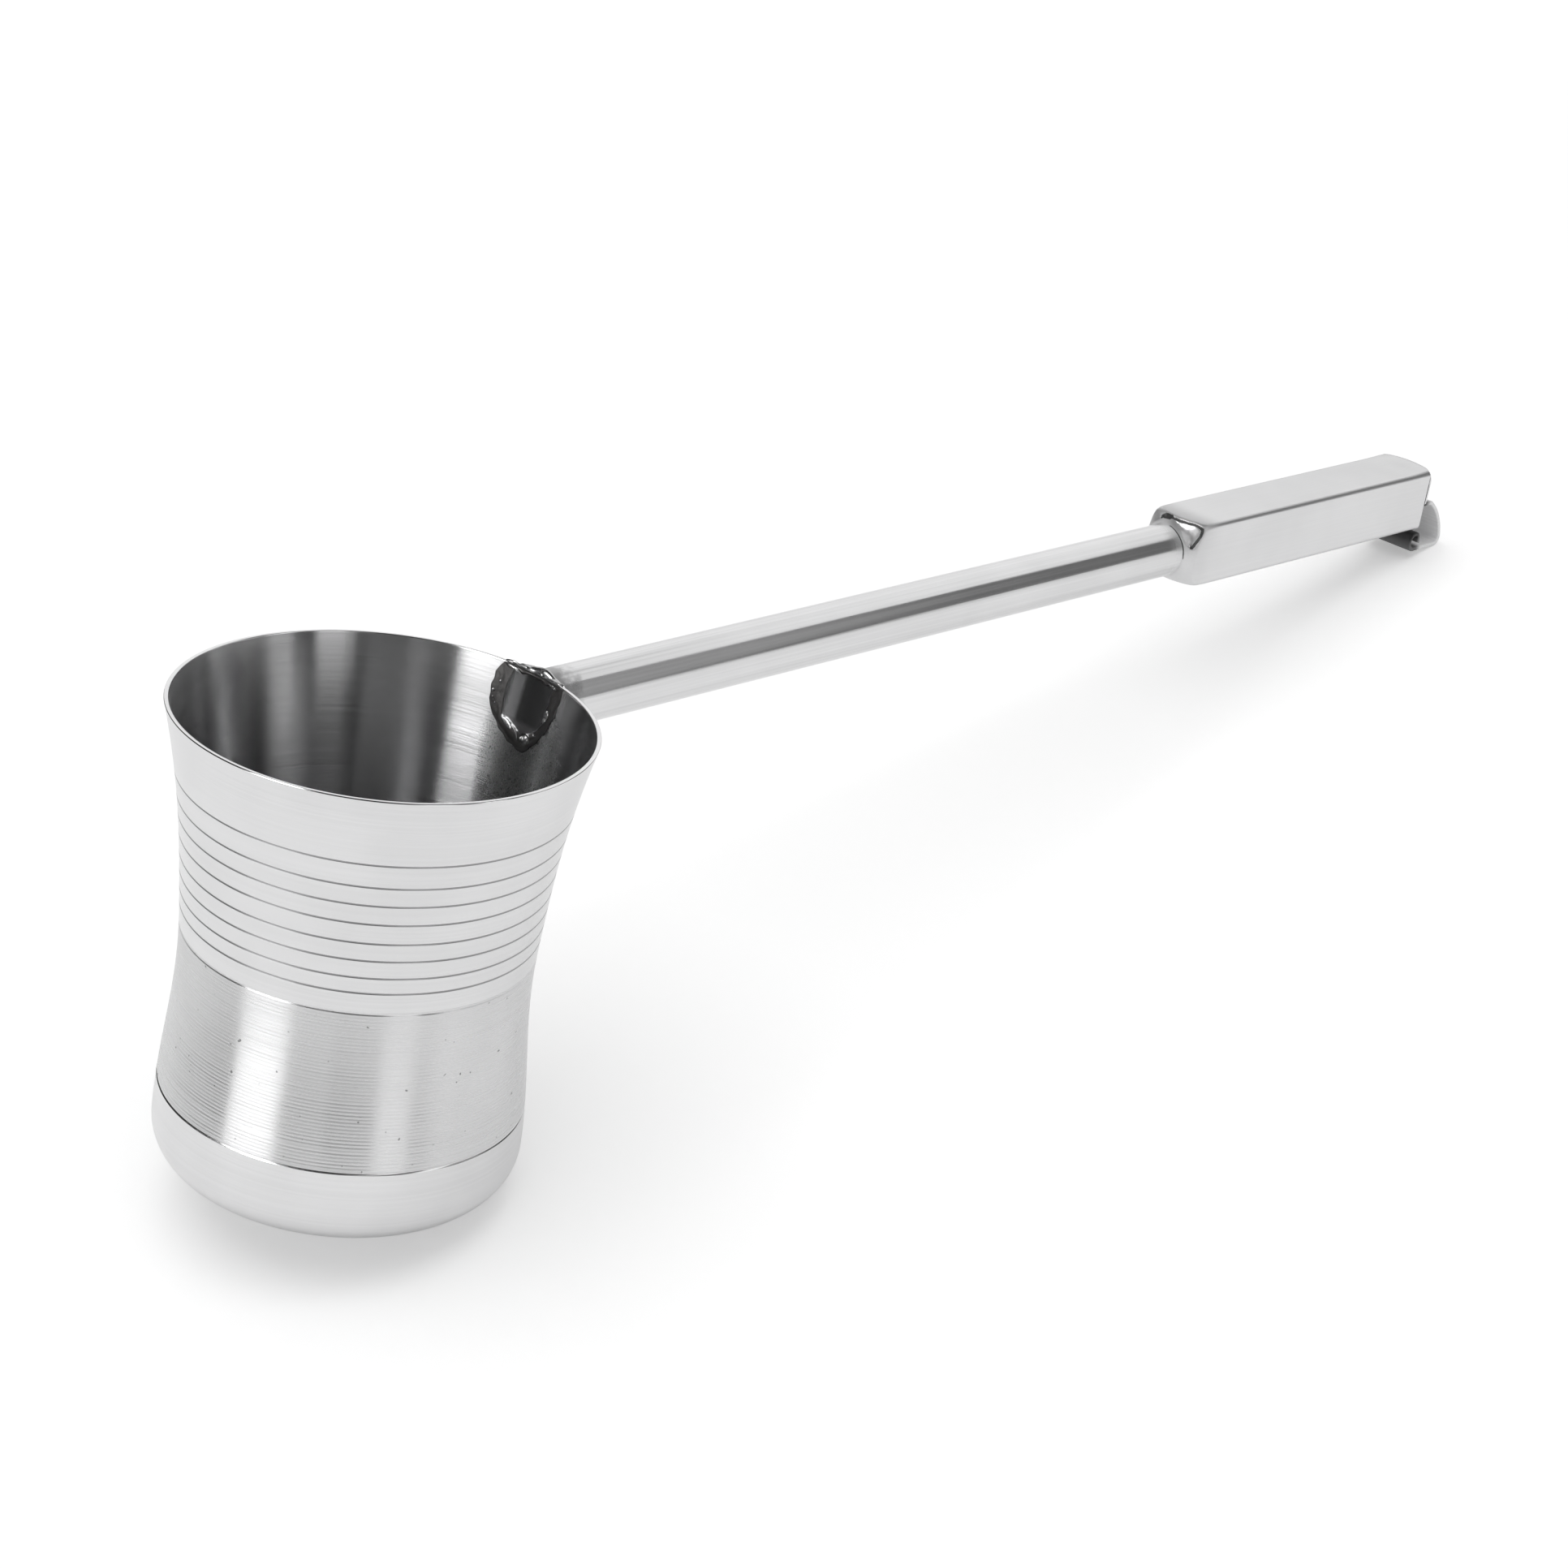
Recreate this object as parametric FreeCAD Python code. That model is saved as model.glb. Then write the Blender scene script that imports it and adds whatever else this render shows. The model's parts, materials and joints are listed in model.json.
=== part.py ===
import FreeCAD, Part
import math
import os

from FreeCAD import Vector

os.makedirs("parts", exist_ok=True)

# A stainless steel dipper: a waisted cup, a round tube handle welded to its wall, a square grip
# swaged onto the tube's end, and a hanging loop at the far end. Millimetres.
# Everything is first drawn in the cup's frame, with the cup's axis on Z, its base at height 0 and
# the handle along +X. It is then leaned over, as it lies on a table: on the base's rounded edge
# and on the heel of the loop.

# Cup, outer sizes
cup_height = 97.5
cup_sheet = 0.9
belly_radius = 36.7
base_corner_radius = 9.2
waist_radius = 34.62
waist_height = 45.0
rim_radius = 41.4
rim_flare_angle = 14.0
# Points of the wall between the belly and the waist, and between the waist and the rim, as shares
# of the way between the named heights and radii
belly_height_shares = (0.3, 0.65)
belly_radius_shares = (0.2, 0.725)
neck_height_shares = (0.25, 0.62)
neck_radius_shares = (0.1, 0.405)

# Grooves engraved round the upper wall, and the two lines that border the turned band below
groove_width = 0.55
groove_depth = 0.2
groove_height_shares = (0.571, 0.605, 0.643, 0.6815, 0.724, 0.765, 0.8055, 0.8555)
band_bottom_height = 17.9
band_top_height = 51.2
band_line_width = 0.7
band_line_depth = 0.25

# Handle tube
tube_diameter = 12.7
tube_wall = 0.9
tube_top_above_rim = 0.4
tube_in_grip = 12.0

# Square grip
grip_side = 16.0
grip_wall = 0.9
grip_corner_radius = 1.3
grip_start = 250.0
grip_shoulder = 6.8
grip_shoulder_rise = 40.0
grip_shoulder_crown = 0.25
grip_bore_clearance = 0.1
grip_wall_end = 354.0
flap_gap = 1.2
flap_end_height_share = 0.445

# Hanging loop: a strip bent along arcs that all turn the same way
loop_strip = 1.1
loop_tail = 8.0
loop_reach = 1.9
loop_neck_radius = 2.2
loop_neck_turn = 32.0
loop_back_radius = 17.0
loop_back_turn = 42.0
loop_heel_radius = 1.9
loop_sole = 10.0
loop_curl_radius = 2.1
loop_curl_turn = 285.0
loop_edge_round = 0.3

# Welds
weld_gap = 0.1
cup_weld_radius = 1.5
root_bead_radius = 0.9
root_bead_lift = 0.35
root_ring_margin = 0.9
root_ring_opening = 70.0
rim_bead_radius = 0.8
rim_bead_start = -9.0
rim_bead_turn = 22.0
collar_bead_radius = 2.6
collar_bead_inset = 1.3
collar_bead_reach = 8.6
collar_bead_offset = 6.0
collar_bead_middle = 38.0
collar_bead_turn = 80.0
collar_weld_recess = 0.25

# Length by which a cutting solid stands past what it cuts
overrun = 5.0

# Values worked out from the sizes above
tube_radius = tube_diameter / 2
base_flat_radius = belly_radius - base_corner_radius
handle_height = cup_height + tube_top_above_rim - tube_radius
bore_radius = tube_radius + grip_bore_clearance
grip_half = grip_side / 2
grip_top = handle_height + grip_half
grip_bottom = handle_height - grip_half
flap_inside = grip_wall_end + flap_gap
flap_outside = flap_inside + grip_wall
flap_end_height = grip_bottom + flap_end_height_share * grip_side
loop_width = grip_side - 2 * grip_wall
loop_height = flap_end_height - weld_gap - loop_strip / 2
loop_heel_turn = 180.0 - loop_neck_turn - loop_back_turn


def at(x, z):
    """Point of the plane through the cup's axis and the handle."""
    return Vector(x, 0, z)


def ray(angle):
    """Unit step of that plane at an angle above +X."""
    turn = math.radians(angle)
    return at(math.cos(turn), math.sin(turn))


def between(low, high, share):
    """Value that lies the given share of the way from low to high."""
    return low + share * (high - low)


def wall_curve(inset):
    """Spline of the cup's wall from the top of the base corner to the rim, inset from outside."""
    points = [at(belly_radius, base_corner_radius)]
    for up, inwards in zip(belly_height_shares, belly_radius_shares):
        height = between(base_corner_radius, waist_height, up)
        points.append(at(between(belly_radius, waist_radius, inwards), height))
    points.append(at(waist_radius, waist_height))
    for up, outwards in zip(neck_height_shares, neck_radius_shares):
        height = between(waist_height, cup_height, up)
        points.append(at(between(waist_radius, rim_radius, outwards), height))
    points.append(at(rim_radius, cup_height))
    upright, flared = ray(90), ray(90 - rim_flare_angle)
    outside = Part.BSplineCurve()
    outside.interpolate(Points=points, InitialTangent=upright, FinalTangent=flared)
    if inset == 0:
        return outside
    count = 2 * len(points)
    first, last = outside.FirstParameter, outside.LastParameter
    inner = []
    for step in range(count + 1):
        place = between(first, last, step / count)
        along = outside.tangent(place)[0]
        inner.append(outside.value(place) + at(-along.z, along.x) * inset)
    inside = Part.BSplineCurve()
    inside.interpolate(Points=inner, InitialTangent=upright, FinalTangent=flared)
    return inside


def wall_radius(height):
    """Outer radius of the cup's wall at a height above the base corner."""
    level = Part.LineSegment(at(0, height), at(2 * rim_radius, height))
    return wall_curve(0).intersectCC(level)[0].X


def arc_about(centre, radius, start, turn):
    """Arc of the handle's plane about a centre, from a start angle through a turn."""
    ends = [centre + ray(start + share * turn) * radius for share in (0, 1 / 2, 1)]
    return Part.Arc(*ends).toShape()


def revolved(edges, base, axis):
    """Solid turned from a closed outline in the handle's plane."""
    face = Part.Face(Part.Wire(edges))
    return face.revolve(base, axis, 360)


def cup_form(inset):
    """The cup as a full solid, inset from its outside, with its wall run on above the rim."""
    wall = wall_curve(inset)
    brim = wall.value(wall.LastParameter)
    above = brim + ray(90 - rim_flare_angle) * overrun
    corner = at(base_flat_radius, base_corner_radius)
    edges = [
        Part.makeLine(at(0, inset), at(base_flat_radius, inset)),
        arc_about(corner, base_corner_radius - inset, -90, 90),
        wall.toShape(),
        Part.makeLine(brim, above),
        Part.makeLine(above, at(0, above.z)),
        Part.makeLine(at(0, above.z), at(0, inset)),
    ]
    return revolved(edges, at(0, 0), at(0, 1))


def groove_disc(height, width, depth):
    """Disc that cuts a round-bottomed groove into the wall's section."""
    radius = (width * width / 4 + depth * depth) / (2 * depth)
    centre = at(wall_radius(height) + radius - depth, height)
    return Part.Face(Part.Wire(Part.makeCircle(radius, centre, Vector(0, 1, 0))))


def cup_section():
    """Closed outline of the cup's sheet, from its axis to its level rim."""
    outer, inner = wall_curve(0), wall_curve(cup_sheet)
    level = Part.LineSegment(at(0, cup_height), at(rim_radius, cup_height))
    lip = inner.intersectCC(level)[0]
    lip = at(lip.X, cup_height)
    inner.trim(inner.FirstParameter, inner.parameter(lip))
    corner = at(base_flat_radius, base_corner_radius)
    return [
        Part.makeLine(at(0, 0), at(base_flat_radius, 0)),
        arc_about(corner, base_corner_radius, -90, 90),
        outer.toShape(),
        Part.makeLine(at(rim_radius, cup_height), inner.value(inner.LastParameter)),
        inner.toShape(),
        arc_about(corner, base_corner_radius - cup_sheet, 0, -90),
        Part.makeLine(at(base_flat_radius, cup_sheet), at(0, cup_sheet)),
        Part.makeLine(at(0, cup_sheet), at(0, 0)),
    ]


def cup_body():
    """Sheet cup with its flat base, engraved grooves and band lines."""
    discs = []
    for share in groove_height_shares:
        discs.append(groove_disc(share * cup_height, groove_width, groove_depth))
    for height in (band_bottom_height, band_top_height):
        discs.append(groove_disc(height, band_line_width, band_line_depth))
    section = Part.Face(Part.Wire(Part.__sortEdges__(cup_section())))
    return section.cut(discs).Faces[0].revolve(at(0, 0), at(0, 1), 360)


def along_handle(radius, start, end):
    """Round bar on the handle's axis between two distances from the cup's axis."""
    return Part.makeCylinder(radius, end - start, at(start, handle_height), at(1, 0))


def handle_tube():
    """Round tube, coped to the cup's wall, with its far end inside the grip."""
    end = grip_start + tube_in_grip
    tube = along_handle(tube_radius, 0, end).cut(along_handle(tube_radius - tube_wall, 0, end))
    return tube.cut(cup_form(0).translated(at(weld_gap, 0)))


def block(x_low, x_high, half_width, z_low, z_high):
    """Upright block, centred on the handle's plane."""
    corner = Vector(x_low, -half_width, z_low)
    return Part.makeBox(x_high - x_low, 2 * half_width, z_high - z_low, corner)


def square_bar(inset):
    """The grip as a full square bar with rounded edges, inset from its outside."""
    start, end = grip_start - inset - overrun, flap_outside - inset
    half, radius = grip_half - inset, grip_corner_radius - inset
    bar = block(start, end, half, handle_height - half, handle_height + half)
    edges = [edge for edge in bar.Edges if edge.BoundBox.XMax > end - radius]
    return bar.makeFillet(radius, edges)


def shoulder_form(inset):
    """Solid of revolution that rounds the grip's front down onto the tube."""
    corner_reach = math.sqrt(2) * (grip_half - grip_corner_radius) + grip_corner_radius
    least = bore_radius + grip_wall - inset
    most = corner_reach + grip_shoulder_crown - inset
    start, full = grip_start + inset, grip_start + grip_shoulder
    # share of its ends' distance at which a curve's handle makes it nearly elliptical
    pull = 4 / 3 * (math.sqrt(2) - 1)
    foot = at(start, handle_height + least)
    swell = Part.BezierCurve()
    swell.setPoles([
        foot,
        foot + ray(grip_shoulder_rise) * (pull * (most - least)),
        at(between(full, start, pull), handle_height + most),
        at(full, handle_height + most),
    ])
    front, back = start - inset - (overrun if inset else 0), flap_outside + overrun
    edges = [
        Part.makeLine(at(front, handle_height), at(front, handle_height + least)),
        Part.makeLine(at(full, handle_height + most), at(back, handle_height + most)),
        Part.makeLine(at(back, handle_height + most), at(back, handle_height)),
        Part.makeLine(at(back, handle_height), at(front, handle_height)),
        swell.toShape(),
    ]
    if front < start:
        edges.append(Part.makeLine(edges[0].Vertexes[1].Point, at(start, handle_height + least)))
    outline = Part.__sortEdges__(edges)
    return revolved(outline, at(0, handle_height), at(1, 0))


def grip_form(inset):
    """The grip as a full solid, inset from its outside."""
    return square_bar(inset).common(shoulder_form(inset))


def grip_tube():
    """Square grip, swaged onto the tube, its top wall folded down over the open end."""
    grip = grip_form(0).cut(grip_form(grip_wall))
    grip = grip.cut(along_handle(bore_radius, grip_start - overrun, grip_start + overrun))
    low = grip_bottom - overrun
    slit = block(grip_wall_end, flap_inside, grip_side, low, grip_top - grip_wall)
    mouth = block(grip_wall_end, flap_outside + overrun, grip_side, low, flap_end_height)
    return grip.cut([slit, mouth, collar_bead()])


def loop_stretches():
    """Middle line of the loop: each stretch's start, heading, length or radius, and turn."""
    return (
        (loop_tail + loop_reach, 0),
        (loop_neck_radius, loop_neck_turn),
        (loop_back_radius, loop_back_turn),
        (loop_heel_radius, loop_heel_turn),
        (loop_sole, 0),
        (loop_curl_radius, loop_curl_turn),
    )


def loop_sides():
    """The strip's upper and lower outlines and its ends, and the centre of each bend."""
    place, heading = at(flap_outside - loop_tail, loop_height), 0
    half = loop_strip / 2
    outer, inner, centres = [], [], []
    start = [place + ray(heading + 90) * half, place - ray(heading + 90) * half]
    for size, turn in loop_stretches():
        side = ray(heading + 90)
        if turn == 0:
            ahead = place + ray(heading) * size
            outer.append(Part.makeLine(place + side * half, ahead + side * half))
            inner.append(Part.makeLine(place - side * half, ahead - side * half))
            place = ahead
            continue
        centre = place - side * size
        outer.append(arc_about(centre, size + half, heading + 90, -turn))
        inner.append(arc_about(centre, size - half, heading + 90, -turn))
        heading -= turn
        place = centre + ray(heading + 90) * size
        centres.append(centre)
    finish = [place + ray(heading + 90) * half, place - ray(heading + 90) * half]
    ends = [Part.makeLine(*start), Part.makeLine(*finish)]
    return outer + inner + ends, centres


def hanging_loop():
    """Strip that leaves the grip under the flap, turns down and back and ends in a curl."""
    edges, centres = loop_sides()
    face = Part.Face(Part.Wire(Part.__sortEdges__(edges)))
    face.translate(Vector(0, -loop_width / 2, 0))
    strip = face.extrude(Vector(0, loop_width, 0))
    rims = []
    for edge in strip.Edges:
        box = edge.BoundBox
        if box.YLength < loop_edge_round and edge.Length > 1.01 * loop_strip:
            rims.append(edge)
    return strip.makeFillet(loop_edge_round, rims)


def bead(middle, along, radius, base, axis, turn):
    """Round bead swept from a start point about an axis."""
    disc = Part.Face(Part.Wire(Part.makeCircle(radius, middle, along)))
    return disc.revolve(base, axis, turn)


def wall_tilt():
    """Angle from upright of the wall's chord across the tube."""
    low = handle_height - tube_radius
    return math.degrees(math.atan2(rim_radius - wall_radius(low), cup_height - low))


def ring_about_tube(inset, margin, radius, opening):
    """Bead round the tube's axis that follows the wall's slope, open at the top."""
    tilt = wall_tilt()
    middle = at(wall_radius(handle_height) - inset, handle_height)
    reach = tube_radius + margin
    axis = ray(-tilt)
    start = middle + ray(90 - tilt) * reach
    along = Vector(0, -1, 0)
    ring = bead(start, along, radius, middle, axis, 360 - opening)
    return ring.rotated(middle, axis, opening / 2)


def cup_weld_outside(tube_bar):
    """Fillet weld between the tube and the outside of the cup."""
    ring = ring_about_tube(0, 0, cup_weld_radius, 0)
    return ring.cut([cup_form(0), tube_bar])


def cup_weld_inside():
    """Bead on the inside of the cup, where the weld came through round the tube."""
    inset = cup_sheet + root_bead_lift
    ring = ring_about_tube(inset, root_ring_margin, root_bead_radius, root_ring_opening)
    return ring.common(cup_form(cup_sheet))


def rim_weld(cup, tube_bar, ring):
    """Bead along the rim, across the top of the tube."""
    start = at(rim_radius, cup_height)
    line = bead(start, Vector(0, 1, 0), rim_bead_radius, at(0, 0), at(0, 1), rim_bead_turn)
    line = line.rotated(at(0, 0), at(0, 1), rim_bead_start)
    return line.cut([cup, tube_bar, ring])


def collar_bead():
    """Bead across the corner of the grip's shoulder that faces up and towards -Y."""
    turn = math.radians(collar_bead_middle)
    outwards = Vector(0, -math.sin(turn), math.cos(turn))
    along = Vector(0, -math.cos(turn), -math.sin(turn))
    middle = at(grip_start + collar_bead_inset, handle_height)
    centre = middle - outwards * collar_bead_offset
    start = middle + outwards * collar_bead_reach
    line = bead(start, along, collar_bead_radius, centre, at(1, 0), collar_bead_turn)
    return line.rotated(centre, at(1, 0), -collar_bead_turn / 2)


def collar_weld(tube_bar):
    """Lens of weld that fills the gap left in that corner, a little below the grip's surface."""
    return collar_bead().common(grip_form(collar_weld_recess)).cut(tube_bar)


def lean_angle():
    """Angle by which the dipper tips until the base corner and the loop's heel share a floor."""
    heel = loop_sides()[1][2]
    corner = at(base_flat_radius, base_corner_radius)
    run = heel - corner
    drop = base_corner_radius - loop_heel_radius - loop_strip / 2
    return math.degrees(math.atan2(run.z, run.x) + math.asin(drop / run.Length))


def leaned(point, lean):
    """Where a point of the handle's plane lies once the dipper leans."""
    turn = math.radians(lean)
    across = point.x * math.cos(turn) + point.z * math.sin(turn)
    up = point.z * math.cos(turn) - point.x * math.sin(turn)
    return at(across, up)


def resting_shift(lean):
    """Shift that puts the origin on the floor, below the middle of the leaning dipper's length."""
    heel = leaned(loop_sides()[1][2], lean)
    near = leaned(at(base_flat_radius, base_corner_radius), lean)
    far = leaned(at(-base_flat_radius, base_corner_radius), lean)
    high = heel.x + loop_heel_radius + loop_strip / 2
    low = far.x - base_corner_radius
    return at(-(low + high) / 2, base_corner_radius - near.z)


def main():
    """Build every piece, lean it as it lies, and write one file for each."""
    tube_bar = along_handle(tube_radius, 0, grip_start + tube_in_grip)
    cup = cup_body()
    ring = cup_weld_outside(tube_bar)
    pieces = {
        "cup_body": cup,
        "handle_tube": handle_tube(),
        "cup_weld_outside": ring,
        "cup_weld_inside": cup_weld_inside(),
        "rim_weld": rim_weld(cup, tube_bar, ring),
        "grip_tube": grip_tube(),
        "collar_weld": collar_weld(tube_bar),
        "hanging_loop": hanging_loop(),
    }
    lean = lean_angle()
    shift = resting_shift(lean)
    for name, shape in pieces.items():
        placed = shape.rotated(Vector(0, 0, 0), Vector(0, 1, 0), lean).translated(shift)
        solids = placed.Solids
        whole = solids[0] if len(solids) == 1 else Part.makeCompound(solids)
        whole.exportStep("parts/" + name + ".step")
        print(name, len(solids), "solids, mm3:", round(whole.Volume, 1), "valid:", whole.isValid())
    print("lean", round(lean, 3), "shift", shift)


main()
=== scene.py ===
import json
import math

import bmesh
import bpy
import numpy as np
from mathutils import Matrix


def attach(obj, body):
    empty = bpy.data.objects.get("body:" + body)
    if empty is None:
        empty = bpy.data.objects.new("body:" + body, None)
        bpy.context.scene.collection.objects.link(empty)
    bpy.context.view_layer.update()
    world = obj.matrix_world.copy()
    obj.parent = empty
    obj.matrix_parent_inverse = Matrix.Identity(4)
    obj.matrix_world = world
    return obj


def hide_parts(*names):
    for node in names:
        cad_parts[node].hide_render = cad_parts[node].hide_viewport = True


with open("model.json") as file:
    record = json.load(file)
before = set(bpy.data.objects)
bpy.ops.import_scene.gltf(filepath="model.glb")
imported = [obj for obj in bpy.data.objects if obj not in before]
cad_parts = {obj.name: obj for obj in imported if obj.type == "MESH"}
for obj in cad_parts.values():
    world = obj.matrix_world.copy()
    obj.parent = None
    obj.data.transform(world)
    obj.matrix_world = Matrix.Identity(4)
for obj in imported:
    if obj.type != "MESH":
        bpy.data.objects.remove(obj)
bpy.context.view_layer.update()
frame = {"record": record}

# The dipper is drawn in the cup's own frame, in millimetres: cup axis on Z, base at height 0,
# handle along +X. PLACE carries that frame to the leaning part, from its base_face mount.
MM = 0.001
base_face = {m["name"]: m for m in frame["record"]["mounts"]}["base_face"]
lean = math.atan2(-base_face["axis"][0], -base_face["axis"][2])
PLACE = Matrix.Translation(base_face["pos_m"]) @ Matrix.Rotation(lean, 4, "Y")

# Cup
cup_height = 97.5
cup_sheet = 0.9
belly_radius = 36.7
base_corner_radius = 9.2
waist_radius = 34.62
waist_height = 45.0
rim_radius = 41.4
rim_flare = math.radians(14.0)
belly_height_shares = (0.3, 0.65)
belly_radius_shares = (0.2, 0.725)
neck_height_shares = (0.25, 0.62)
neck_radius_shares = (0.1, 0.405)
rim_round = 0.22
groove_height_shares = (0.571, 0.605, 0.643, 0.6815, 0.724, 0.765, 0.8055, 0.8555)
groove_width = 0.38
groove_depth = 0.09
# Half width of the strip of painted shade in each engraved groove
groove_shade_half = 0.16
band_bottom = 17.9
band_top = 51.2
band_line_width = 0.7
band_line_depth = 0.25
ring_pitch = 0.73
ring_depth = 0.045
cup_segments = 288

# Handle
tube_radius = 6.35
tube_wall = 0.9
tube_end = 262.0
weld_gap = 0.1
handle_height = cup_height + 0.4 - tube_radius
bore_radius = tube_radius + 0.1
grip_half = 8.0
grip_wall = 0.9
grip_corner = 1.3
# Shoulder of the grip, from the tube outwards: (distance along the handle, radius)
shoulder_points = (
    (248.3, 6.38), (250.0, 6.62), (251.5, 7.5), (253.1, 9.9), (255.1, 11.8), (258.0, 13.3), (263.0, 14.5),
)
shoulder_blend = 13
hollow_start = 251.5
wall_end = 353.2
grip_end = 356.1
flap_outside = grip_end + 0.5
flap_fold = 3.4
flap_corner = 3.4
flap_bulge = 0.8
crown_bulge = 0.8
crown_length = 9.0
grip_top = handle_height + grip_half
flap_low = handle_height - grip_half + 0.445 * 2 * grip_half

# Hanging loop
loop_strip = 1.1
loop_half_width = grip_half - grip_wall
loop_height = flap_low - weld_gap - loop_strip / 2
loop_tail = 8.0
loop_steps = ((9.9, 0), (2.2, 32), (17.0, 42), (1.9, 106), (10.0, 0), (2.1, 285))
loop_edge = 0.35

# Seeds of what is uneven
ring_seed = 7
collar_seed = 3
outside_seed = 5
burnt_seed = 11
soot_seed = 12
bright_strip_seed = 40
bright_line_seed = 50
dull_strip_seed = 60
rim_seed = 71


def between(low, high, share):
    return low + share * (high - low)


def clamped_spline(points, start, end, count):
    """Cubic spline by chord length through points, with unit tangents at both ends."""
    p = np.array(points, float)
    h = np.hypot(*np.diff(p, axis=0).T)
    n = len(p)
    a, b = np.zeros((n, n)), np.zeros((n, 2))
    a[0, 0] = a[-1, -1] = 1
    b[0], b[-1] = start, end
    for i in range(1, n - 1):
        a[i, i - 1 : i + 2] = 1 / h[i - 1], 2 / h[i - 1] + 2 / h[i], 1 / h[i]
        b[i] = 3 * (p[i] - p[i - 1]) / h[i - 1] ** 2 + 3 * (p[i + 1] - p[i]) / h[i] ** 2
    m = np.linalg.solve(a, b)
    out = []
    for i in range(n - 1):
        for t in np.linspace(0, 1, count, endpoint=i == n - 2)[:, None]:
            out.append(
                (2 * t**3 - 3 * t**2 + 1) * p[i] + (t**3 - 2 * t**2 + t) * h[i] * m[i]
                + (3 * t**2 - 2 * t**3) * p[i + 1] + (t**3 - t**2) * h[i] * m[i + 1]
            )
    return np.array(out)


def wall_points():
    """(radius, height) points of the cup's outer wall, from the base corner to the rim."""
    points = [(belly_radius, base_corner_radius)]
    for up, inwards in zip(belly_height_shares, belly_radius_shares):
        height = between(base_corner_radius, waist_height, up)
        points.append((between(belly_radius, waist_radius, inwards), height))
    points.append((waist_radius, waist_height))
    for up, outwards in zip(neck_height_shares, neck_radius_shares):
        height = between(waist_height, cup_height, up)
        points.append((between(waist_radius, rim_radius, outwards), height))
    points.append((rim_radius, cup_height))
    return clamped_spline(points, (0, 1), (math.sin(rim_flare), math.cos(rim_flare)), 60)


WALL = wall_points()


def wall_radius(height):
    return np.interp(height, WALL[:, 1], WALL[:, 0])


def wall_slope(height):
    step = 0.5
    return (wall_radius(height + step) - wall_radius(height - step)) / (2 * step)


def inner_radius(height):
    """Radius of the cup's inner wall."""
    slope = wall_slope(np.minimum(height, cup_height - 1))
    return wall_radius(height) - cup_sheet * np.sqrt(1 + slope**2)


def dip(height, middle, width, depth):
    """Depth of a round-bottomed groove at a height."""
    share = np.clip(np.abs(height - middle) / (width / 2), 0, 1)
    return depth * (1 - share**2)


def turned_rings(height):
    """Depth of the fine turned rings of the lower band, uneven from ring to ring."""
    rng = np.random.default_rng(ring_seed)
    number = np.floor((height - band_bottom) / ring_pitch).astype(int)
    depths = ring_depth * rng.uniform(0.45, 1.25, 64)
    along = (height - band_bottom) / ring_pitch
    edge = np.clip((height - band_bottom) / 1.5, 0, 1) * np.clip((band_top - height) / 0.6, 0, 1)
    edge = edge * np.interp(height, (band_bottom, 27.0, 34.0), (1.0, 0.9, 0.5))
    wave = (0.5 - 0.5 * np.cos(2 * math.pi * along)) ** 1.5
    return depths[np.clip(number, 0, 63)] * wave * edge


def outer_depth(height):
    """How far engraving and turning lie below the plain outer wall."""
    depth = turned_rings(height) * ((height > band_bottom) & (height < band_top))
    for share in groove_height_shares:
        depth = depth + dip(height, share * cup_height, groove_width, groove_depth)
    depth = depth + dip(height, band_bottom, band_line_width, band_line_depth)
    depth = depth + dip(height, band_top, band_line_width, band_line_depth / 2)
    return depth


def outer_heights():
    """Heights of the outer wall's mesh rows, closer together where it is engraved or turned."""
    rows = list(np.arange(base_corner_radius, cup_height - rim_round, 1.2))
    rows += list(np.arange(band_bottom, band_top, ring_pitch / 6))
    lines = [share * cup_height for share in groove_height_shares] + [band_bottom, band_top]
    rows = [z for z in rows if min(abs(z - line) for line in lines) > 0.45]
    for line in lines:
        rows += list(line + np.array((-0.42, -0.36, -0.28, -0.2, -0.1, 0, 0.1, 0.2, 0.28, 0.36, 0.42)))
    return np.array(sorted(rows))


def arc(centre, radius, start, end, count):
    """(x, z) points of an arc between two angles in degrees."""
    turn = np.radians(np.linspace(start, end, count))
    return np.column_stack([centre[0] + radius * np.cos(turn), centre[1] + radius * np.sin(turn)])


def cup_profile():
    """(radius, height) points round the cup's sheet, from the base's middle and back inside to it."""
    flat = belly_radius - base_corner_radius
    corner = (flat, base_corner_radius)
    under = np.column_stack([np.linspace(0, flat, 14)[:-1], np.zeros(13)])
    outer_z = outer_heights()
    outer = np.column_stack([wall_radius(outer_z) - outer_depth(outer_z), outer_z])
    lip = inner_radius(cup_height)
    rim = np.vstack([
        arc((rim_radius - rim_round, cup_height - rim_round), rim_round, 0, 90, 5),
        arc((lip + rim_round, cup_height - rim_round), rim_round, 90, 180, 5),
    ])
    inner_z = np.linspace(cup_height - 1, base_corner_radius, 70)
    inner = np.column_stack([inner_radius(inner_z), inner_z])
    bend = arc(corner, base_corner_radius - cup_sheet, 0, -90, 16)[1:]
    floor = np.column_stack([np.linspace(flat, 0, 14)[1:], np.full(13, cup_sheet)])
    edge = arc(corner, base_corner_radius, -90, 0, 24)[:-1]
    return np.vstack([under, edge, outer, rim, inner, bend, floor])


def grid_faces(rows, columns, wrap=False, start=0):
    """Quads of a grid of points, rows by columns, closed round its columns where wrap is set."""
    faces = []
    for i in range(rows - 1):
        for j in range(columns if wrap else columns - 1):
            k = (j + 1) % columns
            faces.append((start + i * columns + j, start + i * columns + k,
                          start + (i + 1) * columns + k, start + (i + 1) * columns + j))
    return faces


def ring_stack(rings):
    """Points and quads of a tube of rings, all with the same number of points."""
    rings = np.array(rings)
    return rings.reshape(-1, 3), grid_faces(rings.shape[0], rings.shape[1], wrap=True)


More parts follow.
